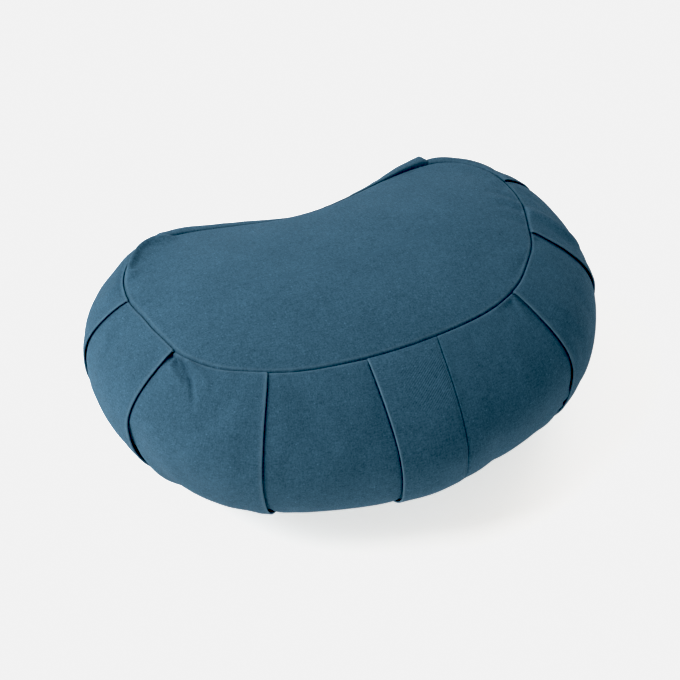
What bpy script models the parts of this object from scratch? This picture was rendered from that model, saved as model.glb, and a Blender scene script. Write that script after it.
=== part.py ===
# Crescent floor cushion: a pleated side strip closed round its filling, a crescent panel on top and
# underneath, and an upright flap sewn over the front middle. Metres, +Z up, the front faces -Y.
import math
from collections import namedtuple

import bmesh
import bpy
import numpy as np
from mathutils.geometry import tessellate_polygon

# Half of the plan, from the front middle round the right end to the back middle; the left half mirrors it
OUTLINE = [
    # seam x, seam y, belly x, belly y
    (0.000, -0.112, 0.000, -0.196),
    (0.048, -0.109, 0.057, -0.186),
    (0.097, -0.098, 0.106, -0.171),
    (0.135, -0.074, 0.175, -0.126),
    (0.175, 0.002, 0.222, -0.028),
    (0.169, 0.077, 0.205, 0.077),
    (0.145, 0.102, 0.108, 0.128),
    (0.083, 0.102, 0.068, 0.117),
    (0.000, 0.085, 0.000, 0.101),
]

# Section of the side and the panels
TOP_SEAM = 0.148        # height of the top seam where y is 0
TOP_LEAN = 0.105        # its fall per metre towards the back
TOP_BOW = 0.41          # and how it bows down at both the front and the back
CROWN = 0.014           # rise of the top panel above its seam
BELLY = 0.083           # height of the widest line
BOTTOM_SEAM = 0.010
ROUND_ABOVE = 2.7       # exponent of the section above the belly, more is squarer
ROUND_BELOW = 2.2
SEAM_DEPTH = 0.0025     # how deep the seams are drawn in
SEAM_ROUND = 0.006      # width of the rolled edge beside a seam
FLOOR_BEND = 0.024      # the bottom panel reaches the floor this far in from its seam

# Knife pleats, placed by the length from the front middle, + to the right. The cloth farther from the
# front laps over the nearer cloth: its lip stands proud, and the nearer cloth rolls into a valley below.
Pleat = namedtuple("Pleat", "name seam belly lip_seam lip_belly lip_foot valley_seam valley_foot "
                            "lip_stand valley_stand")
PLEATS = [
    Pleat("left_back", -0.3587, -0.501, 0.0028, 0.0030, 0.0015, 0.0008, 0.0040, 0.0035, 0.0050),
    Pleat("left_3", -0.2630, -0.365, 0.0024, 0.0026, 0.0010, 0.0008, 0.0040, 0.0, 0.0),
    Pleat("left_2", -0.1866, -0.272, 0.0026, 0.0014, -0.0030, 0.0030, 0.0070, 0.0, 0.0),
    Pleat("left_1", -0.1063, -0.141, 0.0022, 0.0028, 0.0022, 0.0010, 0.0025, 0.0, 0.0),
    Pleat("right_1", 0.1179, 0.1575, 0.0022, 0.0026, -0.0005, 0.0020, 0.0070, 0.0, 0.0),
    Pleat("right_2", 0.1999, 0.267, 0.0024, 0.0034, 0.0030, 0.0012, 0.0040, 0.0, 0.0),
    Pleat("right_3", 0.2791, 0.388, 0.0024, 0.0020, 0.0010, 0.0008, 0.0040, 0.0, 0.0),
    Pleat("right_back", 0.3587, 0.501, 0.0030, 0.0030, 0.0015, 0.0008, 0.0040, 0.0060, 0.0055),
]
FOLD = 0.0018           # two layers of cloth at a fold edge
TUCK = 0.010            # how far a pleat goes back under its lip
SLIT = 0.0005           # opening at the end of the tuck
LIP_FADE = 0.045        # length over which a lip sinks back to the surface
VALLEY_FADE = 0.005
SWELL = 0.3             # the nearer cloth swells before it rolls into a valley, as a share of its depth
SWELL_AT = 0.016
SWELL_WIDTH = 0.012
STAND_FADE = 0.040      # beside the back pleats the cloth stands up along the top seam
STAND_AT = 0.008        # distance from the seam where it stands highest

# The cloth between two pleats, from the back middle round the left end to the front and on
Stretch = namedtuple("Stretch", "name fullness")
STRETCHES = [
    Stretch("back", 0.0),
    Stretch("left_rear", 0.0),
    Stretch("left_end", 0.0005),
    Stretch("left_corner", 0.0020),
    Stretch("front", 0.0020),
    Stretch("right_corner", 0.0008),
    Stretch("right_end", -0.0012),
    Stretch("right_rear", 0.0015),
]
FRONT = 4

# Front flap: where its edges run along the seam and along the belly, from the front middle
Edge = namedtuple("Edge", "seam belly")
FLAP_LEFT = Edge(-0.0262, -0.0297)
FLAP_RIGHT = Edge(0.0352, 0.0275)
FLAP_FADE = 0.015       # the side dips under the flap over this length

# Cloth and clearance
SHEET = 0.0020
GAP = 0.0003

# Mesh: distances of the rows from a seam, then steps to the belly
NEAR_SEAM = (0.0, 0.001, 0.003, 0.007, 0.014, 0.023)
STEPS = 4
SEWN_ROWS = 2           # rows beside each seam where the pleats are sewn shut
COLUMN_SPACING = 0.018
PANEL_RINGS = (0.0002, 0.003, 0.007, 0.024)
PANEL_SPANS = (0.30, 0.62)

COLOURS = {
    "pleated_side": (0.040, 0.120, 0.175, 1.0),
    "top_panel": (0.046, 0.130, 0.186, 1.0),
    "bottom_panel": (0.046, 0.130, 0.186, 1.0),
    "front_flap": (0.038, 0.115, 0.168, 1.0),
}


def closed_curve(half):
    # smooth closed curve through a half outline and its mirror image: length from the front middle, and points
    right = np.array(half)
    ring = np.vstack([right, right[::-1][1:-1] * [-1, 1], right[:1]])
    t = np.concatenate([[0], np.cumsum(np.linalg.norm(np.diff(ring, axis=0), axis=1))])
    n, h = len(t) - 1, np.diff(t)
    system, load = np.zeros((n, n)), np.zeros((n, 2))
    for i in range(n):
        system[i, i - 1] += h[i - 1]
        system[i, i] += 2 * (h[i - 1] + h[i])
        system[i, (i + 1) % n] += h[i]
        before = ring[i] - ring[i - 1 if i else n - 1]
        load[i] = 6 * ((ring[i + 1] - ring[i]) / h[i] - before / h[i - 1])
    bend = np.linalg.solve(system, load)
    bend = np.vstack([bend, bend[:1]])
    q = np.linspace(0, t[-1], 4001)
    i = np.clip(np.searchsorted(t, q, side="right") - 1, 0, n - 1)
    b = ((q - t[i]) / h[i])[:, None]
    a = 1 - b
    sag = ((a**3 - a) * bend[i] + (b**3 - b) * bend[i + 1]) * h[i][:, None]**2 / 6
    points = a * ring[i] + b * ring[i + 1] + sag
    length = np.concatenate([[0], np.cumsum(np.linalg.norm(np.diff(points, axis=0), axis=1))])
    return length, points


SEAM_CURVE = closed_curve([row[:2] for row in OUTLINE])
BELLY_CURVE = closed_curve([row[2:] for row in OUTLINE])
SEAM_LENGTH, BELLY_LENGTH = SEAM_CURVE[0][-1], BELLY_CURVE[0][-1]


def on_curve(curve, at):
    length, points = curve
    at = np.mod(at, length[-1])
    return np.stack([np.interp(at, length, points[:, 0]), np.interp(at, length, points[:, 1])], -1)


def seam_for(belly_at):
    # where the cloth at this belly length is sewn to the seam
    knots = [(p.belly, p.seam) for p in PLEATS] + [(edge.belly, edge.seam) for edge in (FLAP_LEFT, FLAP_RIGHT)]
    knots += [(-BELLY_LENGTH / 2, -SEAM_LENGTH / 2), (BELLY_LENGTH / 2, SEAM_LENGTH / 2)]
    belly, seam = np.array(sorted(knots)).T
    return np.interp(np.mod(belly_at + BELLY_LENGTH / 2, BELLY_LENGTH) - BELLY_LENGTH / 2, belly, seam)


def seam_height(y):
    return TOP_SEAM - TOP_LEAN * y - TOP_BOW * y * y


def bulge(k):
    # share of the way out from the seam to the belly
    return 1 - np.where(k > 0, np.abs(k)**ROUND_ABOVE, np.abs(k)**ROUND_BELOW)


def side_point(belly_at, k):
    # the side's smooth surface: k is 1 at the top seam, 0 at the belly and -1 at the bottom seam
    seam = on_curve(SEAM_CURVE, seam_for(belly_at))
    plan = seam + (on_curve(BELLY_CURVE, belly_at) - seam) * bulge(k)[..., None]
    z = BELLY + np.where(k > 0, seam_height(seam[..., 1]) - BELLY, BELLY - BOTTOM_SEAM) * k
    return np.concatenate([plan, z[..., None]], -1)


def drawn_in(walk):
    # the edge beside a seam rolls down into it
    x = np.clip(1 - walk / SEAM_ROUND, 0, 1)
    return -SEAM_DEPTH * (1 - np.sqrt(1 - x * x))


def rows_at(belly_at):
    # k of each row, from the top seam down to the bottom seam, and its distance from the nearer seam
    halves = []
    for end in (1, -1):
        k = np.linspace(end, 0, 401)
        path = side_point(np.full(len(k), belly_at), k)
        walked = np.concatenate([[0], np.cumsum(np.linalg.norm(np.diff(path, axis=0), axis=1))])
        rest = NEAR_SEAM[-1] + (walked[-1] - NEAR_SEAM[-1]) * np.arange(1, STEPS + 1) / STEPS
        walk = np.concatenate([NEAR_SEAM, rest])
        halves.append(np.stack([np.interp(walk, walked, k), walk]))
    return np.concatenate([halves[0], halves[1][:, -2::-1]], axis=1)


ROWS = 2 * (len(NEAR_SEAM) + STEPS) - 1
DOWN = np.linspace(0, 2, ROWS)      # 0 at the top seam, 1 at the belly, 2 at the bottom seam
OPEN = np.array([float(SEWN_ROWS <= i < ROWS - SEWN_ROWS) for i in range(ROWS)])


def moved(belly_at, shift):
    # belly length, row by row, of a column that runs beside another at the same distance on every row
    k, walk = rows_at(belly_at)
    step = math.copysign(0.002, shift)
    ratio = float(seam_for(belly_at + step) - seam_for(belly_at)) / step
    return belly_at + shift / (bulge(k) + ratio * (1 - bulge(k)))


def lip(pleat):
    at_seam = pleat.lip_seam * 0.6
    heights = (at_seam, pleat.lip_seam, pleat.lip_belly, pleat.lip_foot, pleat.lip_foot, at_seam)
    return np.interp(DOWN, (0, 0.25, 1.0, 1.35, 1.8, 2), heights)


def valley(pleat):
    depths = (0.0008, pleat.valley_seam, 0.0012, 0.0022, pleat.valley_foot, pleat.valley_foot * 0.9, 0.0008)
    return np.interp(DOWN, (0, 0.15, 0.4, 0.9, 1.3, 1.75, 2), depths)


def stand_off(at, index, under_flap=True):
    # how far the cloth of one stretch stands off the smooth surface, row by row
    first, last = PLEATS[index - 1], PLEATS[index]
    start = first.belly - (BELLY_LENGTH if index == 0 else 0)
    span = last.belly - start
    place = np.mod(at - start, BELLY_LENGTH) if index == 0 else at - start
    walk = rows_at(float(np.median(at)))[1]
    arch = np.sin(np.pi * np.clip(place / span, 0, 1)) - 0.35
    off = STRETCHES[index].fullness * arch * np.sin(np.pi * DOWN / 2)
    ridge = (walk / STAND_AT) * np.exp(1 - walk / STAND_AT) * (DOWN < 1)
    for pleat, distance, laps in ((first, place, first.belly > 0), (last, span - place, last.belly < 0)):
        distance = np.maximum(distance, 0)
        stand = ridge * np.exp(-distance / STAND_FADE)
        if laps:
            off = off + lip(pleat) * np.exp(-(distance / LIP_FADE)**2) + pleat.lip_stand * stand
        else:
            roll = SWELL * np.exp(-((distance - SWELL_AT) / SWELL_WIDTH)**2) - np.exp(-distance / VALLEY_FADE)
            off = off + valley(pleat) * roll + pleat.valley_stand * stand
    if index == FRONT and under_flap:
        dip = np.where(at < FLAP_LEFT.belly, np.exp((at - FLAP_LEFT.belly) / FLAP_FADE), 1.0)
        off = off - (SHEET + GAP) * np.where(at > FLAP_RIGHT.belly + GAP / 2, 0.0, dip)
    return off


def column_points(at, off, anchor):
    # the points of one column: its rows on the smooth surface, moved out by the offsets
    k, walk = rows_at(anchor)
    along = side_point(at + 0.0005, k) - side_point(at - 0.0005, k)
    up = side_point(at, np.clip(k + 0.004, -1, 1)) - side_point(at, np.clip(k - 0.004, -1, 1))
    outward = np.cross(along, up)
    outward /= np.linalg.norm(outward, axis=1, keepdims=True)
    # beside a seam the cloth moves straight up or down
    upright = np.zeros_like(outward)
    upright[:, 2] = np.where(k < 0, -1, 1)
    blend = np.clip(walk / 0.010, 0, 1)[:, None]
    blend = blend * blend * (3 - 2 * blend)
    outward = upright * (1 - blend) + outward * blend
    outward /= np.linalg.norm(outward, axis=1, keepdims=True)
    return side_point(at, k) + outward * (off + drawn_in(walk))[:, None]


# One line of the side. at: belly length per row; off: stand-off per row; sewn: it meets the seams in a point
# of its own; anchor: the belly length that spaces its rows
Column = namedtuple("Column", "at off sewn anchor")


def cloth_column(at, index):
    return Column(at, stand_off(at, index), True, float(np.median(at)))


def pleat_columns(number):
    # from the nearer cloth into the slit, back out under the lip and round the fold edge on to the lip
    pleat = PLEATS[number]
    side = 1 if pleat.belly > 0 else -1
    near, far = (number, (number + 1) % len(PLEATS)) if side > 0 else (number + 1, number)
    edge = np.full(ROWS, pleat.belly)
    near_off, far_off = stand_off(edge, near), stand_off(edge, far)

    def folded(shift, off):
        at = edge + (moved(pleat.belly, side * shift) - edge) * OPEN
        return Column(at, near_off * (1 - OPEN) + off * OPEN, False, pleat.belly)

    columns = [cloth_column(moved(pleat.belly, side * d), near) for d in (-0.012, -0.005, -0.0018)]
    columns.append(Column(edge, near_off, True, pleat.belly))
    columns.append(folded(TUCK, near_off - 0.0002))
    columns.append(folded(TUCK, near_off - 0.0002 + SLIT))
    columns.append(folded(0.0006, far_off - FOLD))
    columns.append(folded(-0.0007, far_off - FOLD / 2))
    columns.append(folded(0.0006, far_off))
    columns += [cloth_column(moved(pleat.belly, side * d), far) for d in (0.006, 0.016)]
    return columns[::side]


def between(start, end, count):
    # places between two columns, evenly spaced on every row
    return [start + (end - start) * (i + 1) / (count + 1) for i in range(count)]


def side_columns():
    pleats = [pleat_columns(number) for number in range(len(PLEATS))]
    columns = []
    for number, block in enumerate(pleats):
        columns += block
        index = (number + 1) % len(pleats)
        start, end = block[-1].at, pleats[index][0].at + (0 if index else BELLY_LENGTH)
        if index == FRONT:
            left, right = np.full(ROWS, FLAP_LEFT.belly), np.full(ROWS, FLAP_RIGHT.belly)
            places = between(start, left, 4) + [left] + between(left, right, 3) + [right, right + GAP]
            places += between(right + GAP, end, 5)
        else:
            places = between(start, end, max(3, round(float(np.mean(end - start)) / COLUMN_SPACING) - 1))
        columns += [cloth_column(at, index) for at in places]
    return columns


class Skin:
    # triangles that share their corners, so that columns which meet in one point close up
    def __init__(self):
        self.mesh = bmesh.new()
        self.corners = {}

    def corner(self, point):
        key = tuple(round(c * 1e7) for c in point)
        if key not in self.corners:
            self.corners[key] = self.mesh.verts.new([float(c) for c in point])
        return self.corners[key]

    def face(self, *points):
        corners = {self.corner(point): None for point in points}
        if len(corners) == 3:
            self.mesh.faces.new(corners)

    def quad(self, a, b, c, d):
        self.face(a, b, c)
        self.face(a, c, d)

    def bands(self, rings):
        for upper, lower in zip(rings, rings[1:]):
            for i in range(len(upper)):
                j = (i + 1) % len(upper)
                self.quad(upper[i], lower[i], lower[j], upper[j])

    def cap(self, ring, up):
        for corners in tessellate_polygon([[(p[0], p[1], 0.0) for p in ring]]):
            a, b, c = (ring[i] for i in corners)
            turns_left = (b[0] - a[0]) * (c[1] - a[1]) > (b[1] - a[1]) * (c[0] - a[0])
            if turns_left == up:
                self.face(a, b, c)
            else:
                self.face(a, c, b)

    def finish(self, name, collection):
        mesh = bpy.data.meshes.new(name)
        self.mesh.to_mesh(mesh)
        self.mesh.free()
        mesh.shade_smooth()
        mesh.set_sharp_from_angle(angle=math.radians(50))
        mesh.materials.append(cotton(name))
        piece = bpy.data.objects.new(name, mesh)
        collection.objects.link(piece)
        return piece


def cotton(name):
    material = bpy.data.materials.new(name + "_cotton")
    material.use_nodes = True
    material.diffuse_color = COLOURS[name]
    shader = material.node_tree.nodes["Principled BSDF"]
    shader.inputs["Base Color"].default_value = COLOURS[name]
    shader.inputs["Roughness"].default_value = 0.9
    shader.inputs["Metallic"].default_value = 0.0
    return material


def seam_points(belly_at):
    # the seam in plan, and the inward direction at each point
    s = seam_for(np.array(belly_at))
    ahead = on_curve(SEAM_CURVE, s + 0.004) - on_curve(SEAM_CURVE, s - 0.004)
    ahead /= np.linalg.norm(ahead, axis=1, keepdims=True)
    return on_curve(SEAM_CURVE, s), np.stack([-ahead[:, 1], ahead[:, 0]], -1)


def middle_line(seam):
    # the bent line along the crescent that a panel's rings close on
    front, back = on_curve(SEAM_CURVE, 0.0)[1], on_curve(SEAM_CURVE, SEAM_LENGTH / 2)[1]
    end = SEAM_CURVE[1][np.argmax(SEAM_CURVE[1][:, 0])]
    x = seam[:, 0] * 0.55
    middle = (front + back) / 2
    return np.stack([x, middle + (end[1] - middle) * (x / end[0])**2], -1)


def panel_rings(belly_at, top):
    # outer face of a panel, ring by ring from its cut edge to its middle
    seam, inward = seam_points(belly_at)
    middle = middle_line(seam)
    reach = np.linalg.norm(middle - seam, axis=1)
    plans = [(seam + inward * d, np.full(len(seam), d)) for d in PANEL_RINGS]
    edge, walked = plans[-1]
    plans += [(edge + (middle - edge) * f, walked + (reach - walked) * f) for f in PANEL_SPANS]
    rings = []
    for plan, walk in plans:
        roll = drawn_in(walk - PANEL_RINGS[0])
        if top:
            z = seam_height(plan[:, 1]) + CROWN * (1 - (1 - walk / reach)**2) + roll
        else:
            z = BOTTOM_SEAM * np.clip(1 - walk / FLOOR_BEND, 0, 1)**2 - roll
        rings.append(np.concatenate([plan, z[:, None]], 1))
    return rings


def raised(rings, dz):
    return [ring + [0, 0, dz] for ring in rings]


def make_panel(name, belly_at, top, collection):
    outer = panel_rings(belly_at, top)
    upper, lower = (outer, raised(outer, -SHEET)) if top else (raised(outer, SHEET), outer)
    skin = Skin()
    skin.bands(upper[::-1] + lower)
    skin.cap(upper[-1], up=True)
    skin.cap(lower[-1], up=False)
    return skin.finish(name, collection)


def make_side(columns, collection):
    # the strip's rows, then a shallow step and a seat for each panel
    skin = Skin()
    points = np.array([column_points(column.at, column.off, column.anchor) for column in columns])
    skin.bands([points[:, row] for row in range(ROWS)])
    sewn = [i for i, column in enumerate(columns) if column.sewn]
    ends = [columns[i].at[0] for i in sewn]
    seam, inward = seam_points(ends)
    for top, row in ((True, 0), (False, ROWS - 1)):
        level = seam_height(seam[:, 1]) if top else np.full(len(seam), BOTTOM_SEAM)
        inside = -1 if top else 1
        foot_level = level + inside * (SEAM_DEPTH + SHEET + 0.0007)
        foot = np.concatenate([seam - inward * 0.0001, foot_level[:, None]], 1)
        rings = [points[sewn, row], foot] + raised(panel_rings(ends, top), inside * (SHEET + GAP))
        skin.bands(rings[::-1] if top else rings)
        skin.cap(rings[-1], up=top)
    return skin.finish("pleated_side", collection)


def make_flap(collection):
    # a sheet that follows the side one gap above it
    left, right = np.full(ROWS, FLAP_LEFT.belly), np.full(ROWS, FLAP_RIGHT.belly)
    places = [left] + between(left, right, 3) + [right - GAP]
    faces = []
    for depth in (0, SHEET):
        faces.append([column_points(at, stand_off(at, FRONT, False) - depth, at[0]) for at in places])
    outer, inner = faces
    skin = Skin()
    rings = [np.array([column[row] for column in outer + inner[::-1]]) for row in range(ROWS)]
    skin.bands(rings)
    for ring, up in ((rings[0], True), (rings[-1], False)):
        for i in range(len(outer) - 1):
            corners = ring[i], ring[i + 1], ring[-2 - i], ring[-1 - i]
            skin.quad(*(corners if up else corners[::-1]))
    return skin.finish("front_flap", collection)


def main():
    for obj in list(bpy.data.objects):
        bpy.data.objects.remove(obj, do_unlink=True)
    collection = bpy.data.collections.new("crescent_cushion")
    bpy.context.scene.collection.children.link(collection)
    columns = side_columns()
    ends = [column.at[0] for column in columns if column.sewn]
    pieces = [
        make_side(columns, collection),
        make_panel("top_panel", ends, True, collection),
        make_panel("bottom_panel", ends, False, collection),
        make_flap(collection),
    ]
    # the origin is the middle of the footprint
    corners = np.array([v.co for piece in pieces for v in piece.data.vertices])
    middle = (corners.min(0) + corners.max(0)) / 2
    for piece in pieces:
        piece.location = (-middle[0], -middle[1], 0.0)


main()
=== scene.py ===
import math
from collections import namedtuple

import bmesh
import bpy
import numpy as np
from mathutils import Matrix, Vector, noise


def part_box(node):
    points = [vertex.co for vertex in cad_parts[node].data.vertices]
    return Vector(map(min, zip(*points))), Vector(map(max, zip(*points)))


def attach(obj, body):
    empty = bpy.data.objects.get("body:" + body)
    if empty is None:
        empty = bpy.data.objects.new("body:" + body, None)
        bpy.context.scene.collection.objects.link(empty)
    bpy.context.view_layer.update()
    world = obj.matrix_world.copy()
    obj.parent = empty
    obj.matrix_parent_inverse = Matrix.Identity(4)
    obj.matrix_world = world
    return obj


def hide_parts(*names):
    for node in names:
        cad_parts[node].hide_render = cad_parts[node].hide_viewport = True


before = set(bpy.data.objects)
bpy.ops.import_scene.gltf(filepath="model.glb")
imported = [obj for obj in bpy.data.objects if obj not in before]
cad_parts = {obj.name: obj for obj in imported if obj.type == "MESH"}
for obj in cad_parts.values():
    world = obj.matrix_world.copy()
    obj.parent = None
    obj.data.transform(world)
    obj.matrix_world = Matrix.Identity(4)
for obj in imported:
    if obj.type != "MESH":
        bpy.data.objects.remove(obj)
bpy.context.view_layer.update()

scene = bpy.context.scene

# Half of the plan, from the front middle round the right end to the back middle, as in the CAD.
# seamX, seamY, bellyX, bellyY in metres; the left half mirrors it
outline = [
    (0.000, -0.112, 0.000, -0.196),
    (0.048, -0.109, 0.057, -0.186),
    (0.097, -0.098, 0.106, -0.171),
    (0.135, -0.074, 0.175, -0.126),
    (0.175, 0.002, 0.222, -0.028),
    (0.169, 0.077, 0.205, 0.077),
    (0.145, 0.102, 0.108, 0.128),
    (0.083, 0.102, 0.068, 0.117),
    (0.000, 0.085, 0.000, 0.101),
]

cushion = {
    "topSeam": 0.148,       # height of the top seam where y is 0
    "topLean": 0.105,       # its fall towards the back
    "topBow": 0.41,
    "belly": 0.083,         # height of the widest line
    "bottomSeam": 0.010,
    "roundAbove": 2.7,
    "roundBelow": 2.2,
    # the CAD's rows beside a seam, which set the folds' profiles
    "cadRows": (0.0, 0.001, 0.003, 0.007, 0.014, 0.023),
    "cadSteps": 4,
    "seamDepth": 0.0024,
    "seamRound": 0.0020,    # width of the rolled shoulder beside a seam
    "seamPull": 0.0006,     # the cloth is drawn down a little over a wider band
    "seamPullReach": 0.007,
    "ripple": 0.00028,      # slow unevenness of the stuffed cloth
    "rippleSize": 0.045,
    "pucker": 0.00022,      # small gathers along the seams
    "puckerSize": 0.0085,
    "puckerReach": 0.0085,
    "puckerFrom": 0.0015,
    "puckerEnd": 0.05,      # they are worked out this far from a seam
    "detailFade": 0.004,    # creases and ripples die out this near a seam
    "upright": 0.010,       # over this width beside a seam the outward direction turns upright
    "floorGap": 0.0012,     # the side and the flap stay this far off the floor
}

sideMesh = {
    # rows beside a seam, then lines beside a fold edge: on the near cloth, in the tuck, under and on the lip
    "nearRows": (0.0, 0.0005, 0.0010, 0.0016, 0.0023, 0.0031, 0.0042, 0.0056, 0.0074, 0.0096, 0.0120, 0.0145),
    "nearFold": (
        0.0185, 0.0160, 0.0137, 0.0115, 0.0095, 0.0077, 0.0061, 0.0047, 0.0035, 0.0025, 0.0016, 0.0008,
    ),
    "inTuck": (0.0018, 0.0040, 0.0070),
    "underLip": (0.0070, 0.0040, 0.0020),
    "onLip": (0.0013, 0.0020, 0.0029, 0.0040, 0.0053, 0.0069, 0.0087, 0.0107, 0.0129, 0.0153, 0.0178),
    # and beside the flap's left and right edge
    "besideFlap": ((-0.010, -0.0035, -0.001, 0.0015), (-0.001, 0.0, 0.0003, 0.0035)),
    "steps": 42,            # rows from there to the belly, closer together near the seam
    "stepGrowth": 1.2,
    "columnSpacing": 0.0021,
    "backSpacing": 0.0044,
    "edgeSpacing": 0.0006,  # between the lines beside the flap's edges, where they are nearer than edgeReach
    "edgeReach": 0.007,
    "gather": 1.4,          # columns crowd beside left2 and right1, where small creases run
    "shutBeside": 0.0030,   # the pleats are sewn shut this near a seam
}

# Knife pleats by their length from the front middle, + to the right: the far cloth's lip stands over the
# near cloth, which rolls into a valley below it. footLean: how far the fold drifts to the front at its foot,
# between leanFrom and leanTo (0 is the top seam, 1 the belly, 2 the bottom seam)
Pleat = namedtuple("Pleat", "name seam belly lipSeam lipBelly lipFoot valleySeam valleyFoot "
                            "lipStand valleyStand footLean leanFrom leanTo", defaults=(0, 0, 0, 0.85, 1.5))
pleats = [
    Pleat("leftBack", -0.3587, -0.501, 0.0014, 0.0026, 0.0015, 0.0008, 0.0040, 0.0016),
    Pleat("left3", -0.2630, -0.365, 0.0015, 0.0019, 0.0010, 0.0008, 0.0040, footLean=0.004),
    Pleat("left2", -0.1866, -0.272, 0.0016, 0.0010, 0.0004, 0.0030, 0.0080, footLean=0.020),
    Pleat("left1", -0.1063, -0.141, 0.0016, 0.0022, 0.0022, 0.0010, 0.0025, footLean=0.012),
    Pleat("right1", 0.1179, 0.1575, 0.0015, 0.0015, 0.0032, 0.0020, 0.0095, 0.0, 0.0, 0.015, 0.78, 1.22),
    Pleat("right2", 0.1999, 0.267, 0.0016, 0.0019, 0.0030, 0.0012, 0.0040),
    Pleat("right3", 0.2791, 0.388, 0.0020, 0.0020, 0.0010, 0.0008, 0.0040),
    Pleat("rightBack", 0.3587, 0.501, 0.0030, 0.0030, 0.0015, 0.0008, 0.0040, 0.0078, 0.0050),
]
fullness = [0.0, 0.0, 0.0005, 0.0026, 0.0020, 0.0008, -0.0012, 0.0015]    # of the cloth before each pleat
frontStretch = 4
footDent = {                # the front draws back a little near its foot
    "depth": 0.0030,
    "at": 0.022,
    "width": 0.046,
    "down": (0, 0.95, 1.3, 1.7, 2),
    "share": (0, 0, 1, 0.7, 0),
}

fold = {
    "round": 0.00080,       # radius of the rolled fold edge
    "rim": 0.00030,         # the edge stands a little prouder than the lip behind it
    "rimWidth": 0.0016,
    "tuck": 0.0105,
    "slit": 0.0005,
    "lipFade": 0.045,
    "valleyFade": (0.0013, 0.0014, 0.0032, 0.0034),     # at the top seam, belly, foot and bottom seam
    "swell": 0.3,
    "swellAt": 0.016,
    "swellWidth": 0.012,
    "standFade": 0.058,
    "lipStandFade": 0.036,
    "standAt": 0.008,
    "standRound": 0.006,    # and within this distance of the fold edge it falls to standEdge of it
    "standEdge": 0.35,
    "arch": 0.35,           # beside its folds a full stretch sinks by this share of its fullness
    "wander": 0.0005,       # the fold edges don't run dead straight
    "waver": ((1.0, 5.1, 1.7), (0.5, 11.3, 1.0)),   # strength, turns in radians, shift from pleat to pleat
    "corner": {"left1": 0.0032},    # the side turns a corner at this fold, so both cloths stand out beside it
    "cornerFade": 0.045,
    "cornerDown": (0, 0.5, 0.9, 1.35, 2),
    "cornerShare": (0, 1, 1, 0.15, 0),
}

flap = {
    "left": (-0.0262, -0.0297),     # its edges along the seam and along the belly, from the front middle
    "right": (0.0352, 0.0275),
    "thick": 0.0016,
    "recess": 0.0023,       # how far the side lies below the flap's face
    "recessAtSeam": 0.35,   # share of it at the top and bottom seam
    "recessReach": 0.014,
    "fade": 0.015,
    "gap": 0.0012,          # and how much deeper it drops under the free edge
    "gapAt": 0.0004,
    "gapWidth": 0.0009,
    "gapReach": 0.006,
    "seamGap": 0.0003,      # between its sewn edge and the side's next line
    "short": 0.0002,        # its own last line ends this far before the seam
    "puff": 0.0006,
    "edgeLift": 0.0007,
    "liftWidth": 0.006,
    "reliefReach": 0.012,   # puff and lift grow over this length from the top and bottom seam
    "nearFree": (0.0008, 0.0014, 0.0022, 0.0032, 0.0045),       # its mesh lines by the free edge
    "evenFrom": 0.006,
    "columns": 38,
    "nearSewn": (0.0045, 0.0036, 0.0029, 0.0024, 0.0019, 0.0014, 0.0009, 0.0005, 0.0002, 0.0),
    "rippleShift": 0.37,    # so that its ripples aren't those of the side below
    "rippleSize": 0.03,
    "shoulder": 0.0020,     # the sewn edge rolls down into its seam
    "shoulderDepth": 0.0014,
}

paintedHighlight = {                    # bands of painted highlight, paler cloth along fold edges, seam shoulders and the flap's free edge: how strong and how wide
    "foldWidth": 0.0022,
    "fromSeam": 0.003,      # the painted highlight of a fold edge grows over this length from a seam
    "seam": 0.6,
    "seamWidth": 0.0009,
    "flapEdge": 1.5,
    "flapEdgeWidth": 0.0011,
}


def hump(distance, width):
    return np.exp(-(distance / width)**2)


def closedCurve(half):
    # smooth closed curve through a half outline and its mirror image, as lengths and points
    right = np.array(half)
    ring = np.vstack([right, right[::-1][1:-1] * [-1, 1], right[:1]])
    t = np.concatenate([[0], np.cumsum(np.linalg.norm(np.diff(ring, axis=0), axis=1))])
    n, h = len(t) - 1, np.diff(t)
    system, load = np.zeros((n, n)), np.zeros((n, 2))
    for i in range(n):
        system[i, i - 1] += h[i - 1]
        system[i, i] += 2 * (h[i - 1] + h[i])
        system[i, (i + 1) % n] += h[i]
        before = ring[i] - ring[i - 1 if i else n - 1]
        load[i] = 6 * ((ring[i + 1] - ring[i]) / h[i] - before / h[i - 1])
    bend = np.linalg.solve(system, load)
    bend = np.vstack([bend, bend[:1]])
    q = np.linspace(0, t[-1], 6001)
    i = np.clip(np.searchsorted(t, q, side="right") - 1, 0, n - 1)
    b = ((q - t[i]) / h[i])[:, None]
    a = 1 - b
    sag = ((a**3 - a) * bend[i] + (b**3 - b) * bend[i + 1]) * h[i][:, None]**2 / 6
    points = a * ring[i] + b * ring[i + 1] + sag
    length = np.concatenate([[0], np.cumsum(np.linalg.norm(np.diff(points, axis=0), axis=1))])
    return length, points


# where the sewn seam strays from the drawn line: length from the front middle, how far out, how wide
seamStray = [
    (-0.180, 0.0040, 0.018),
    (-0.150, 0.0034, 0.022),
    (-0.236, -0.0018, 0.016),
    (0.157, -0.0023, 0.022),
    (0.207, -0.0022, 0.024),
]


def strayed(curve):
    length, points = curve
    place = np.mod(length + length[-1] / 2, length[-1]) - length[-1] / 2
    ahead = np.gradient(points, axis=0)
    ahead /= np.linalg.norm(ahead, axis=1, keepdims=True)
    out = sum(far * hump(place - at, wide) for at, far, wide in seamStray)
    return length, points + np.stack([ahead[:, 1], -ahead[:, 0]], -1) * out[:, None]


seamCurve = strayed(closedCurve([row[:2] for row in outline]))
bellyCurve = closedCurve([row[2:] for row in outline])
seamLength, bellyLength = seamCurve[0][-1], bellyCurve[0][-1]

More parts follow.
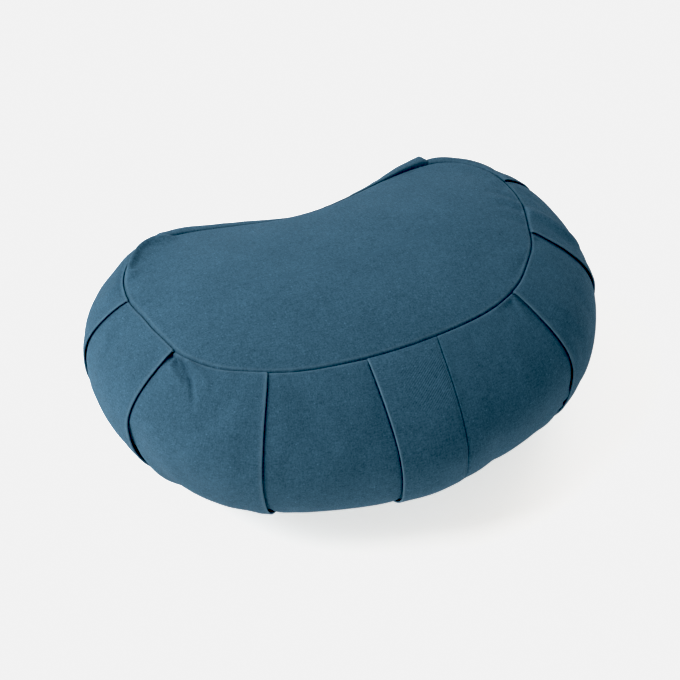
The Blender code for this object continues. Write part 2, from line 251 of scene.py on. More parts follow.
# the CAD centres its footprint, so the curves move with its top panel
panelLow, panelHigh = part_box("top_panel")
curveMiddle = (seamCurve[1].min(0) + seamCurve[1].max(0)) / 2
cadShift = np.array([(panelLow.x + panelHigh.x) / 2, (panelLow.y + panelHigh.y) / 2, 0.0])
cadShift[:2] -= curveMiddle


def onCurve(curve, at):
    length, points = curve
    at = np.mod(at, length[-1])
    return np.stack([np.interp(at, length, points[:, 0]), np.interp(at, length, points[:, 1])], -1)


def seamFor(bellyAt):
    # where the cloth at this belly length is sewn to the seam
    knots = [(p.belly, p.seam) for p in pleats] + [flap["left"][::-1], flap["right"][::-1]]
    knots += [(-bellyLength / 2, -seamLength / 2), (bellyLength / 2, seamLength / 2)]
    belly, seam = np.array(sorted(knots)).T
    return np.interp(np.mod(bellyAt + bellyLength / 2, bellyLength) - bellyLength / 2, belly, seam)


def seamHeight(y):
    return cushion["topSeam"] - cushion["topLean"] * y - cushion["topBow"] * y * y


def bulge(k):
    return 1 - np.where(k > 0, np.abs(k)**cushion["roundAbove"], np.abs(k)**cushion["roundBelow"])


def sidePoint(bellyAt, k):
    # the side's smooth surface: k is 1 at the top seam, 0 at the belly and -1 at the bottom seam
    seam = onCurve(seamCurve, seamFor(bellyAt))
    plan = seam + (onCurve(bellyCurve, bellyAt) - seam) * bulge(k)[..., None]
    top = seamHeight(seam[..., 1])
    reach = np.where(k > 0, top - cushion["belly"], cushion["belly"] - cushion["bottomSeam"])
    z = cushion["belly"] + reach * k
    return np.concatenate([plan, z[..., None]], -1)


def ease(x, knots, values):
    # smooth curve through the knots that doesn't overshoot them
    knots, values = np.array(knots, float), np.array(values, float)
    step, rise = np.diff(knots), np.diff(values)
    slope = rise / step
    both = slope[:-1] * slope[1:] > 0
    inner = np.where(both, 2 * slope[:-1] * slope[1:] / np.where(both, slope[:-1] + slope[1:], 1), 0)
    tangent = np.concatenate([[slope[0]], inner, [slope[-1]]])
    i = np.clip(np.searchsorted(knots, x, side="right") - 1, 0, len(step) - 1)
    t = np.clip((x - knots[i]) / step[i], 0, 1)
    start, end = tangent[i] * step[i], tangent[i + 1] * step[i]
    return values[i] + t * start + t**2 * (3 * rise[i] - 2 * start - end) + t**3 * (start + end - 2 * rise[i])


def smoothStep(x):
    x = np.clip(x, 0, 1)
    return x * x * (3 - 2 * x)


def awayFromSeam(walk):
    return smoothStep(walk / cushion["detailFade"])


def rolled(distance, width):
    # quarter circle: 1 on an edge, 0 from the given width on
    x = np.clip(1 - distance / width, 0, 1)
    return 1 - np.sqrt(1 - x * x)


def drawnIn(walk):
    # the shoulder beside a seam rolls down into it, and the cloth near it is pulled down a little
    roll = cushion["seamDepth"] * rolled(walk, cushion["seamRound"])
    return -roll - cushion["seamPull"] * np.exp(-walk / cushion["seamPullReach"])


# below: length from the top seam; down: 0 at the top seam, 1 at the belly and 2 at the bottom seam
Rows = namedtuple("Rows", "k walk below down")
rowCache = {}


def rowsAt(bellyAt):
    key = round(bellyAt * 1e5)
    if key in rowCache:
        return rowCache[key]
    halves = []
    marks = np.arange(len(cushion["cadRows"]) + 1.0)
    marks[-1] += cushion["cadSteps"] - 1
    for end in (1, -1):
        k = np.linspace(end, 0, 401)
        path = sidePoint(np.full(len(k), bellyAt), k)
        walked = np.concatenate([[0], np.cumsum(np.linalg.norm(np.diff(path, axis=0), axis=1))])
        near = sideMesh["nearRows"]
        share = np.arange(1, sideMesh["steps"] + 1) / sideMesh["steps"]
        rest = near[-1] + (walked[-1] - near[-1]) * share**sideMesh["stepGrowth"]
        walk = np.concatenate([near, rest])
        down = np.interp(walk, np.append(cushion["cadRows"], walked[-1]), marks / marks[-1])
        halves.append((np.interp(walk, walked, k), walk, down))
    (kTop, walkTop, downTop), (kLow, walkLow, downLow) = halves
    low = slice(-2, None, -1)
    total = walkTop[-1] + walkLow[-1]
    rows = Rows(
        np.concatenate([kTop, kLow[low]]),
        np.concatenate([walkTop, walkLow[low]]),
        np.concatenate([walkTop, total - walkLow[low]]),
        np.concatenate([downTop, 2 - downLow[low]]),
    )
    rowCache[key] = rows
    return rows


rowCount = len(rowsAt(0.0).k)


def foldLine(pleat, down):
    # belly length of a fold, row by row
    lean = pleat.footLean * smoothStep((down - pleat.leanFrom) / (pleat.leanTo - pleat.leanFrom))
    return pleat.belly - math.copysign(1, pleat.belly) * lean


def lipHeight(pleat, down):
    atSeam = pleat.lipSeam * 0.6
    heights = (atSeam, pleat.lipSeam, pleat.lipBelly, pleat.lipFoot, pleat.lipFoot, atSeam)
    return ease(down, (0, 0.25, 1.0, 1.35, 1.8, 2), heights)


def valleyDepth(pleat, down):
    depths = (0.0006, pleat.valleySeam, 0.0007, 0.0012, pleat.valleyFoot, pleat.valleyFoot * 0.9, 0.0008)
    return ease(down, (0, 0.12, 0.32, 0.95, 1.3, 1.75, 2), depths)


def standOff(at, stretch, rows, underFlap=True):
    # how far the cloth between two pleats stands off the smooth surface, row by row
    first, last = pleats[stretch - 1], pleats[stretch]
    start = foldLine(first, rows.down) - (bellyLength if stretch == 0 else 0)
    span = foldLine(last, rows.down) - start
    place = np.mod(at - start, bellyLength) if stretch == 0 else at - start
    arch = np.sin(np.pi * np.clip(place / span, 0, 1)) - fold["arch"]
    off = fullness[stretch] * arch * np.sin(np.pi * rows.down / 2)
    ridge = (rows.walk / fold["standAt"]) * np.exp(1 - rows.walk / fold["standAt"]) * (rows.down < 1)
    for pleat, distance, laps in ((first, place, first.belly > 0), (last, span - place, last.belly < 0)):
        distance = np.maximum(distance, 0)
        stand = ridge * np.exp(-distance / fold["lipStandFade" if laps else "standFade"])
        corner = ease(rows.down, fold["cornerDown"], fold["cornerShare"])
        corner = corner * fold["corner"].get(pleat.name, 0.0)
        off = off + corner * np.exp(-distance / fold["cornerFade"])
        if laps:
            rim = fold["rim"] * hump(distance, fold["rimWidth"]) * awayFromSeam(rows.walk)
            off = off + lipHeight(pleat, rows.down) * hump(distance, fold["lipFade"]) + rim
            least = fold["standEdge"]
            share = least + (1 - least) * smoothStep(distance / fold["standRound"])
            off = off + pleat.lipStand * stand * share
        else:
            roll = fold["swell"] * hump(distance - fold["swellAt"], fold["swellWidth"])
            roll = roll - np.exp(-distance / ease(rows.down, (0, 0.9, 1.35, 2), fold["valleyFade"]))
            off = off + valleyDepth(pleat, rows.down) * roll + pleat.valleyStand * stand
    if stretch == frontStretch:
        low = ease(rows.down, footDent["down"], footDent["share"])
        off = off - footDent["depth"] * low * hump(at - footDent["at"], footDent["width"])
    if stretch == frontStretch and underFlap:
        left, right = flap["left"][1], flap["right"][1]
        dip = np.where(at < left, np.exp((at - left) / flap["fade"]), 1.0)
        least = flap["recessAtSeam"]
        eased = least + (1 - least) * smoothStep(rows.walk / flap["recessReach"])
        off = off - flap["recess"] * np.where(at > right + flap["seamGap"] / 2, 0.0, dip) * eased
        gap = flap["gap"] * hump(at - left - flap["gapAt"], flap["gapWidth"])
        off = off - gap * smoothStep(rows.walk / flap["gapReach"])
    return off


def outwardAt(at, k, walk):
    # outward direction of the smooth surface, turned upright beside the seams
    along = sidePoint(at + 0.0005, k) - sidePoint(at - 0.0005, k)
    up = sidePoint(at, np.clip(k + 0.004, -1, 1)) - sidePoint(at, np.clip(k - 0.004, -1, 1))
    outward = np.cross(along, up)
    outward /= np.linalg.norm(outward, axis=-1, keepdims=True)
    upright = np.zeros_like(outward)
    upright[..., 2] = np.where(k < 0, -1, 1)
    blend = smoothStep(walk / cushion["upright"])[..., None]
    outward = upright * (1 - blend) + outward * blend
    return outward / np.linalg.norm(outward, axis=-1, keepdims=True)


# Soft creases that show in the cloth, listed one by one: height, width, where it fades out ("both" ends, or
# from its "start" on) and its points, all in millimetres. A ridge is positive and a trough negative.
# On the side a point is a belly length and a distance below the top seam, by the stretch of cloth.
sideCreases = {
    0: [
        (3.2, 9.0, "both", [(-470, 6), (-503, 6), (-530, 6), (-560, 6), (-590, 7), (-622, 8)]),
        (-1.1, 9.0, "both", [(560, 14), (590, 22), (622, 20)]),
        (0.9, 9.0, "both", [(-560, 40), (-590, 48), (-622, 44)]),
    ],
    1: [
        (-2.2, 3.5, "both", [(-372, 3), (-390, 3.2), (-410, 3.2), (-432, 3.5)]),
        (-1.2, 4.5, "both", [(-398, 7), (-388, 9), (-377, 12)]),
        (2.4, 8.0, "both", [(-438, 9), (-458, 8.5), (-478, 7.5), (-499, 7)]),
        (0.8, 9.0, "both", [(-430, 30), (-438, 60), (-434, 95)]),
    ],
    2: [
        (-0.8, 7.0, "both", [(-350, 14), (-335, 30), (-325, 55)]),
    ],
    3: [
        (-4.0, 4.0, "start", [(-271, 2), (-270, 6), (-269, 11), (-268, 18)]),
        (-5.6, 2.0, "start", [(-265, 4), (-258, 7.2), (-250.5, 10.6), (-240, 14.4), (-229, 20)]),
        (3.4, 2.6, "start", [(-266, 10), (-256, 14), (-244, 18), (-232, 24)]),
        (-6.4, 2.0, "start",
         [(-261, 1.5), (-249, 5.8), (-239.5, 10.2), (-229, 16.4), (-221, 24), (-214, 33), (-210, 42)]),
        (3.6, 2.4, "start", [(-250, 1.8), (-236, 4.6), (-220, 8.6), (-208, 15), (-202, 24)]),
        (-1.2, 9.0, "both", [(-176, 22), (-186, 36), (-203, 50)]),
        (1.0, 10.0, "both", [(-168, 25), (-170, 50), (-175, 80)]),
        (-0.8, 8.0, "both", [(-222, 60), (-212, 85), (-200, 110)]),
        (-3.2, 18.0, "both", [(-272, 76), (-256, 92), (-238, 112), (-212, 134), (-180, 150), (-146, 158)]),
    ],
    4: [
        (2.4, 2.8, "start", [(152, 4), (148, 10), (146, 18), (143, 28)]),
        (-2.4, 2.8, "start", [(149, 4), (143, 9), (139, 17), (134, 28)]),
        (-1.3, 5.0, "start", [(140, 3), (128, 8), (118, 18), (108, 32)]),
        (1.0, 8.0, "both", [(118, 20), (104, 45), (98, 75)]),
        (-0.9, 8.0, "both", [(84, 8), (70, 18), (62, 34)]),
        (2.0, 4.0, "both", [(154, 104), (150, 108), (142, 112)]),
        (-2.4, 3.5, "both", [(156, 112), (150, 115), (143, 117)]),
        (2.0, 3.5, "both", [(155, 119), (149, 121), (141, 122)]),
        (-0.9, 9.0, "both", [(-118, 14), (-104, 30), (-98, 55)]),
        (0.8, 9.0, "both", [(-86, 30), (-74, 60), (-72, 95)]),
    ],
    5: [
        (-1.2, 4.0, "start", [(258, 4), (252, 9), (247, 18)]),
        (-0.8, 8.0, "both", [(220, 40), (214, 65), (212, 95)]),
        (0.8, 9.0, "both", [(190, 20), (186, 50), (190, 80)]),
    ],
    6: [
        (4.2, 8.0, "both", [(318, -6), (310, 10), (304, 26), (299, 44), (296, 60)]),
        (-1.2, 7.0, "both", [(302, 6), (294, 20), (286, 38), (280, 54)]),
        (1.2, 3.0, "start", [(372, 4), (352, 10), (334, 20), (318, 34)]),
        (-1.3, 3.0, "start", [(374, 8), (356, 16), (340, 28), (326, 44)]),
    ],
    7: [
        (2.4, 12.0, "both", [(500, 10), (482, 9), (462, 8), (440, 8), (420, 9)]),
        (-1.0, 7.0, "start", [(400, 4), (412, 14), (424, 30)]),
        (0.8, 9.0, "both", [(455, 30), (462, 60), (458, 90)]),
    ],
}
# On the top panel it is an x and a y
topCreases = [
    (4.8, 11.0, "both", [(-172, 92), (-160, 112), (-148, 125), (-134, 132), (-118, 134)]),
    (6.2, 5.5, "both",
     [(-170, 95), (-165, 106), (-159.6, 114.6), (-146.8, 129.1), (-138, 133.9), (-126, 135), (-114, 134)]),
    (-1.9, 2.4, "both", [(-165, 98), (-157.5, 110), (-147, 123), (-136, 129)]),
    (2.4, 10.0, "both", [(126, 138), (150, 130), (164, 113), (175, 90), (178, 76)]),
    (-2.6, 4.5, "both", [(82, 134), (95, 137), (108, 137.5), (122, 138.5)]),
    (-1.8, 2.8, "start", [(-175, 98.5), (-165, 101), (-156, 106), (-146, 113)]),
    (1.9, 2.8, "start", [(-176, 93), (-166, 95), (-156, 99), (-144, 104)]),
    (-2.6, 3.2, "start", [(178, 46), (171, 56), (160, 64), (146, 68)]),
    (1.8, 3.2, "start", [(178, 38), (170, 47), (158, 54), (144, 57)]),
    (-2.5, 3.2, "start", [(177, 28), (168, 37), (156, 44), (142, 47)]),
    (-2.0, 3.2, "start", [(171, 12), (163, 18), (152, 25), (140, 29)]),
    (-1.2, 4.0, "start", [(148, -22), (136, -32), (124, -40), (112, -45)]),
    (0.8, 5.0, "both", [(134, -48), (122, -54), (108, -56)]),
    (-0.6, 12.0, "both", [(-120, 62), (-95, 50), (-62, 46)]),
    (-0.5, 12.0, "both", [(40, 108), (66, 96), (86, 78)]),
]


def ridgeOver(points, crease, line):
    # height of a crease at each point, by its distance from the crease's line
    height, width, fade, _ = crease
    t = np.linspace(0, 1, len(line))
    through = np.linspace(0, 1, 31)
    line = np.stack([ease(through, t, line[:, axis]) for axis in range(3)], -1)
    best = np.full(len(points), 1e9)
    place = np.zeros(len(points))
    for i in range(len(line) - 1):
        step = line[i + 1] - line[i]
        share = np.clip((points - line[i]) @ step / (step @ step), 0, 1)
        distance = np.linalg.norm(points - line[i] - share[:, None] * step, axis=1)
        nearer = distance < best
        best = np.where(nearer, distance, best)
        place = np.where(nearer, (i + share) / (len(line) - 1), place)
    if fade == "both":
        strength = np.sqrt(np.clip(4 * place * (1 - place), 0, 1))
    else:
        strength = smoothStep(place / 0.12) * (1 - place)
    return height / 1000 * strength * hump(best, width / 1000)


def ripples(points, size, layers):
    basis = "PERLIN_ORIGINAL"
    return np.array([noise.fractal(Vector(p) / size, 1.0, 2.0, layers, noise_basis=basis) for p in points])


def puckers(seamAt, walk, seed):
    # small gathers that run square to a seam and die out away from it
    size, reach = cushion["puckerSize"], cushion["puckerReach"]
    wave = np.array([noise.noise(Vector((s / size, seed, 0.3))) for s in seamAt])
    slow = np.array([0.6 + noise.noise(Vector((s / (size * 6), seed + 5, 0.7))) for s in seamAt])
    rise = (walk / reach) * np.exp(1 - walk / reach) * smoothStep(walk / cushion["puckerFrom"])
    return cushion["pucker"] * 2.2 * wave * np.clip(slow, 0.1, 1.4) * rise


# A light skin over the filling, sewn down along the seams and the folds, is blown up a little with Blender's
# Cloth. Where it ends up higher or lower than its surroundings is added to the side strip.
settle = {
    "spacing": 0.0058,
    "frames": 24,
    "pressure": 4.0,
    "extra": 0.018,         # the cloth is cut this much larger than the surface it covers
    "tension": 14.0,
    "bending": 0.6,
    "soften": 30,           # rounds of averaging that tell the wrinkles from the overall swelling
    "smooth": 3,            # and rounds that take the mesh's own steps out of them
    "keep": 0.55,
    "most": 0.0016,         # no point moves further than this
    "besideFold": 0.020,    # the folds' own shape takes over this near them
    "besideSeam": 0.008,
}


def linked(name, data):
    item = bpy.data.objects.new(name, data)
    scene.collection.objects.link(item)
    return item


def settledCloth(name, points, outward, pinned):
    rows, columns = pinned.shape
    flat = points.reshape(-1, 3)
    mesh = bpy.data.meshes.new(name)
    faces = []
    for r in range(0, (rows - 1) * columns, columns):
        for i in range(columns):
            j = (i + 1) % columns
            faces.append((r + i, r + columns + i, r + columns + j, r + j))
    mesh.from_pydata(flat.tolist(), [], faces)
    facing = sum(Vector(outward.reshape(-1, 3)[v.index]).dot(v.normal) for v in mesh.vertices)
    if facing < 0:
        mesh.flip_normals()
    skin = linked(name, mesh)
    sewn = skin.vertex_groups.new(name="sewn")
    for weight in sorted(set(pinned.ravel())):
        if weight > 0:
            sewn.add(np.where(pinned.ravel() == weight)[0].tolist(), float(weight), "REPLACE")
    cloth = skin.modifiers.new("cloth", "CLOTH")
    cloth.settings.quality = 6
    cloth.settings.tension_stiffness = cloth.settings.compression_stiffness = settle["tension"]
    cloth.settings.bending_stiffness = settle["bending"]
    cloth.settings.use_pressure = True
    cloth.settings.uniform_pressure_force = settle["pressure"]
    cloth.settings.shrink_min = -settle["extra"]
    cloth.settings.vertex_group_mass = "sewn"
    cloth.settings.effector_weights.gravity = 0
    cloth.collision_settings.use_collision = False
    cloth.point_cache.frame_start, cloth.point_cache.frame_end = 1, settle["frames"]
    for frameNumber in range(1, settle["frames"] + 1):
        scene.frame_set(frameNumber)
    done = skin.evaluated_get(bpy.context.evaluated_depsgraph_get()).data
    ended = np.empty(len(flat) * 3, np.float32)
    done.vertices.foreach_get("co", ended)
    moved = ((ended.reshape(-1, 3) - flat) * outward.reshape(-1, 3)).sum(1)
    ends = np.empty(len(mesh.edges) * 2, np.int32)
    mesh.edges.foreach_get("vertices", ends)
    a, b = ends.reshape(-1, 2).T
    touching = np.bincount(a, minlength=len(flat)) + np.bincount(b, minlength=len(flat))

    def averaged(values, rounds):
        for _ in range(rounds):
            around = np.bincount(a, values[b], len(flat)) + np.bincount(b, values[a], len(flat))
            values = 0.5 * values + 0.5 * around / touching
        return values

    wrinkles = averaged(moved, settle["smooth"]) - averaged(moved, settle["soften"])
    scene.frame_set(1)
    bpy.data.objects.remove(skin)
    bpy.data.meshes.remove(mesh)
    wrinkles = wrinkles.reshape(rows, columns) * settle["keep"]
    print(name, "moved up to %.1f mm, wrinkles %.2f mm" % (1000 * abs(moved).max(), 1000 * wrinkles.std()))
    return np.clip(wrinkles, -settle["most"], settle["most"])


def gridHeight(grid, down, around):
    # height in a grid that closes on itself sideways, at places given as shares of its rows and columns
    rows, columns = grid.shape
    r = np.clip(down, 0, 1) * (rows - 1)
    c = np.mod(around, 1) * columns
    r0, c0 = np.minimum(r.astype(int), rows - 2), c.astype(int) % columns
    fr, fc = r - r0, c - np.floor(c)
    c1 = (c0 + 1) % columns
    upper = grid[r0, c0] * (1 - fc) + grid[r0, c1] * fc
    lower = grid[r0 + 1, c0] * (1 - fc) + grid[r0 + 1, c1] * fc
    return upper * (1 - fr) + lower * fr


def settledSide():
    columns = round(bellyLength / settle["spacing"])
    at = np.arange(columns) / columns * bellyLength
    lines = [rowsAt(a - bellyLength if a > bellyLength / 2 else a) for a in at]
    count = round(lines[0].below[-1] / settle["spacing"])
    share = np.linspace(0, 1, count)
    k = np.array([np.interp(share * line.below[-1], line.below, line.k) for line in lines]).T
    walk = np.array([np.interp(share * line.below[-1], line.below, line.walk) for line in lines]).T
    where = np.broadcast_to(at, k.shape)
    pinned = np.zeros(k.shape)
    pinned[[0, -1]] = 1
    for pleat in pleats:
        pinned[:, round(pleat.belly / bellyLength * columns) % columns] = 1
    return settledCloth("settlingSide", sidePoint(where, k), outwardAt(where, k, walk), pinned)


# One line of the side's mesh, seam to seam. skin: how much of the surface detail it takes
Column = namedtuple("Column", "at off rows stretch skin foldAway")


def clothColumn(at, stretch, rows, foldAway=1.0):
    return Column(at, standOff(at, stretch, rows), rows, stretch, 1.0, foldAway)


def pleatColumns(number):
    pleat = pleats[number]
    side = 1 if pleat.belly > 0 else -1
    near, far = (number, (number + 1) % len(pleats)) if side > 0 else (number + 1, number)
    rows = rowsAt(pleat.belly)
    share = bulge(rows.k)
    edgeLine = foldLine(pleat, rows.down)
    # a slow waver of the fold edge along its length
    wave = sum(high * np.sin(rows.down * turns + number * shift) for high, turns, shift in fold["waver"])
    edgeLine = edgeLine + fold["wander"] * wave * np.sin(np.pi * rows.down / 2)
    opened = smoothStep(rows.walk / sideMesh["shutBeside"])

    def shifted(d):
        step = math.copysign(0.002, side * d) if d else 0.002
        ratio = float(seamFor(pleat.belly + step) - seamFor(pleat.belly)) / step
        return edgeLine + side * d / (share + ratio * (1 - share))

    nearOff = standOff(foldLine(pleat, rows.down), near, rows)
    farOff = standOff(foldLine(pleat, rows.down), far, rows)
    radius, tuck = fold["round"], fold["tuck"]
    under = farOff - 2 * radius

    def folded(d, off, skin):
        at = edgeLine + (shifted(d) - edgeLine) * opened
        return Column(at, nearOff * (1 - opened) + off * opened, rows, far, skin, max(d, 0.0))

    def hidden(d, off, skin):
        return folded(d, off, skin)._replace(foldAway=0.02)

    columns = [
        clothColumn(shifted(-d), near, rows, 0.02)
        for d in sideMesh["nearFold"]
    ]
    columns.append(Column(edgeLine, nearOff, rows, near, 0.6, 0.02))
    for d in (*sideMesh["inTuck"], tuck - 0.0005):
        columns.append(hidden(d, nearOff, 0.0))
    columns.append(hidden(tuck, nearOff + fold["slit"] / 2, 0.0))
    for d in (tuck - 0.0005, *sideMesh["underLip"]):
        rise = smoothStep(1 - (d - radius) / (tuck - radius))
        columns.append(hidden(d, nearOff + fold["slit"] + (under - nearOff - fold["slit"]) * rise, 0.3))
    for turn in range(-90, 91, 26):
        angle = math.radians(turn)
        back, up = radius - radius * math.cos(angle), radius * math.sin(angle)
        columns.append(folded(back, farOff - radius + up, 1.0))
    columns += [
        clothColumn(shifted(d), far, rows, d)
        for d in sideMesh["onLip"]
    ]
    return columns[::side]


def between(start, end, count, crowdAt=None):
    # evenly spaced lines of places, or crowded towards the start or the end
    shares = np.arange(1, count + 1) / (count + 1)
    if crowdAt == "start":
        shares = shares**sideMesh["gather"]
    elif crowdAt == "end":
        shares = 1 - (1 - shares)**sideMesh["gather"]
    return [start + (end - start) * share for share in shares]


def sideColumns():
    blocks = [pleatColumns(number) for number in range(len(pleats))]
    columns = []
    for number, block in enumerate(blocks):
        columns += block
        stretch = (number + 1) % len(blocks)
        start, end = block[-1].at, blocks[stretch][0].at + (0 if stretch else bellyLength)
        stops = [start, end]
        if stretch == frontStretch:
            edges = zip((flap["left"][1], flap["right"][1]), sideMesh["besideFlap"])
            stops[1:1] = [np.full(rowCount, edge + d) for edge, beside in edges for d in beside]
        for i, (a, b) in enumerate(zip(stops, stops[1:])):
            last = i == len(stops) - 2
            spacing = sideMesh["backSpacing" if stretch in (0, 1, 7) else "columnSpacing"]
            width = float(np.mean(b - a))
            crowdAt = "start" if stretch == 3 else "end" if stretch == frontStretch and last else None
            if crowdAt:
                spacing /= sideMesh["gather"]
            if stretch == frontStretch and width < sideMesh["edgeReach"]:
                spacing = sideMesh["edgeSpacing"]
            count = max(0, round(width / spacing) - 1)
            places = between(a, b, count, crowdAt) + ([] if last else [b])
            columns += [clothColumn(at, stretch, rowsAt(float(np.median(at)))) for at in places]
    return columns


def flapShoulder(at):
    # the side's cloth rolls down into the seam along the flap's sewn edge
    right = flap["right"][1]
    roll = rolled(at - right - flap["seamGap"], flap["shoulder"])
    return -flap["shoulderDepth"] * np.where(at > right + flap["seamGap"] / 2, roll, 0)


def addMesh(name, rings, uv, wrapLength, highlightMask):
    # closed skin through the rings, with the cloth's own lengths as its UV map and a mask of painted
    # highlights along its edges
    rings, uv, highlightMask = np.array(rings), np.array(uv), np.array(highlightMask)
    count, across = rings.shape[:2]
    points = rings.reshape(-1, 3)
    faces, corners = [], []
    flat = uv.reshape(-1, 2)
    for r in range(count - 1):
        for i in range(across):
            j = (i + 1) % across
            faces.append((r * across + i, (r + 1) * across + i, (r + 1) * across + j, r * across + j))
            lift = (wrapLength, 0) if j < i else (0, 0)
            corners += [flat[r * across + i], flat[(r + 1) * across + i]]
            corners += [flat[(r + 1) * across + j] + lift, flat[r * across + j] + lift]
    mesh = bpy.data.meshes.new(name)
    mesh.from_pydata(points.tolist(), [], faces)
    layer = mesh.uv_layers.new(name="cloth")
    layer.data.foreach_set("uv", np.array(corners, np.float32).ravel())
    mask = mesh.attributes.new("highlightMask", "FLOAT", "POINT")
    mask.data.foreach_set("value", highlightMask.astype(np.float32).ravel())
    work = bmesh.new()
    work.from_mesh(mesh)
    work.verts.ensure_lookup_table()
    for r in (0, count - 1):
        ring = [work.verts[r * across + i] for i in range(across)]
        work.faces.new([v for i, v in enumerate(ring) if (v.co - ring[i - 1].co).length > 1e-5])
    bmesh.ops.remove_doubles(work, verts=work.verts, dist=1.2e-5)
    bmesh.ops.dissolve_degenerate(work, edges=work.edges, dist=1e-6)
    bmesh.ops.triangulate(work, faces=[f for f in work.faces if len(f.verts) > 4])
    bmesh.ops.recalc_face_normals(work, faces=work.faces)
    work.to_mesh(mesh)
    work.free()
    mesh.shade_smooth()
    print(name, len(mesh.vertices), "points,", sum(len(p.vertices) - 2 for p in mesh.polygons), "triangles")
    return linked(name, mesh)


def seamPoints(seamAt):
    ahead = onCurve(seamCurve, seamAt + 0.004) - onCurve(seamCurve, seamAt - 0.004)
    ahead /= np.linalg.norm(ahead, axis=1, keepdims=True)
    return onCurve(seamCurve, seamAt), np.stack([-ahead[:, 1], ahead[:, 0]], -1)


def creaseLine(crease):
    line = []
    for belly, below in crease[-1]:
        rows = rowsAt(belly / 1000)
        k = np.interp(below / 1000, rows.below, rows.k)
        line.append(sidePoint(np.array([belly / 1000]), np.array([k]))[0])
    return np.array(line)


topPanel = {
    "crown": 0.014,
    "thick": 0.0014,
    "inset": 0.0002,        # its cut edge lies this far inside the seam
    "rings": (
        0.0, 0.0004, 0.0009, 0.0015, 0.0022, 0.0031, 0.0042, 0.0056, 0.0074, 0.0096, 0.0122, 0.0150, 0.0180,
    ),
    "ringSpacing": 0.0025,
    "columnSpacing": 0.0025,
    "floorBend": 0.024,     # the bottom panel reaches the floor this far in
    "middle": 0.55,         # half length of the line its rings close on, as a share of the crescent's
    "depth": 0.085,         # from the seam to that line, for the count of the rings
    "smoothFrom": 0.022,    # from here on, over smoothOver, the rings' heights give way to one smooth dome
    "smoothOver": 0.035,
}
seat = {                    # the side's own face under a panel
    "rings": (0.003, 0.008, 0.020),
    "spans": (0.3, 0.6, 0.85),
    "step": 0.0050,         # behind the seam
    "outside": 0.0001,
    "below": 0.0008,        # the panel's inner face
}


def middleLine(seam):
    # the bent line along the crescent that a panel's rings close on
    front, back = onCurve(seamCurve, 0.0)[1], onCurve(seamCurve, seamLength / 2)[1]
    end = seamCurve[1][np.argmax(seamCurve[1][:, 0])]
    x = seam[:, 0] * topPanel["middle"]
    middle = (front + back) / 2
    return np.stack([x, middle + (end[1] - middle) * (x / end[0])**2], -1)


def domeTerms(plan):
    x, y = plan[:, 0] / 0.18, plan[:, 1] / 0.11
    return np.stack([x**i * y**j for i in (0, 2, 4, 6, 8) for j in range(7) if i + j < 10], -1)


def panelRings(seamAt, top, walks, spans):
    # outer face of a panel, ring by ring from its cut edge to near its middle line
    seam, inward = seamPoints(seamAt)
    middle = middleLine(seam)
    reach = np.linalg.norm(middle - seam, axis=1)
    walks = [walk + topPanel["inset"] for walk in walks]
    plans = [(seam + inward * walk, np.full(len(seam), walk)) for walk in walks]
    edge, walked = plans[-1]
    plans += [(edge + (middle - edge) * f, walked + (reach - walked) * f) for f in spans]
    crowns = [topPanel["crown"] * (1 - (1 - walk / reach)**2) for _, walk in plans]
    if len(spans) > 6:
        # over the middle, one smooth surface that fits the rings' heights
        terms = domeTerms(np.concatenate([plan for plan, _ in plans]))
        weights = np.linalg.lstsq(terms, np.concatenate(crowns), rcond=None)[0]
        for i, (plan, walk) in enumerate(plans):
            share = smoothStep((walk - topPanel["smoothFrom"]) / topPanel["smoothOver"])
            crowns[i] = crowns[i] * (1 - share) + domeTerms(plan) @ weights * share
    rings, lengths = [], []
    for (plan, walk), crown in zip(plans, crowns):
        roll = drawnIn(walk - topPanel["inset"])
        if top:
            z = seamHeight(plan[:, 1]) + crown + roll
        else:
            z = cushion["bottomSeam"] * np.clip(1 - walk / topPanel["floorBend"], 0, 1)**2 - roll
        rings.append(np.concatenate([plan, z[:, None]], 1))
        lengths.append(walk)
    return np.array(rings), np.array(lengths)


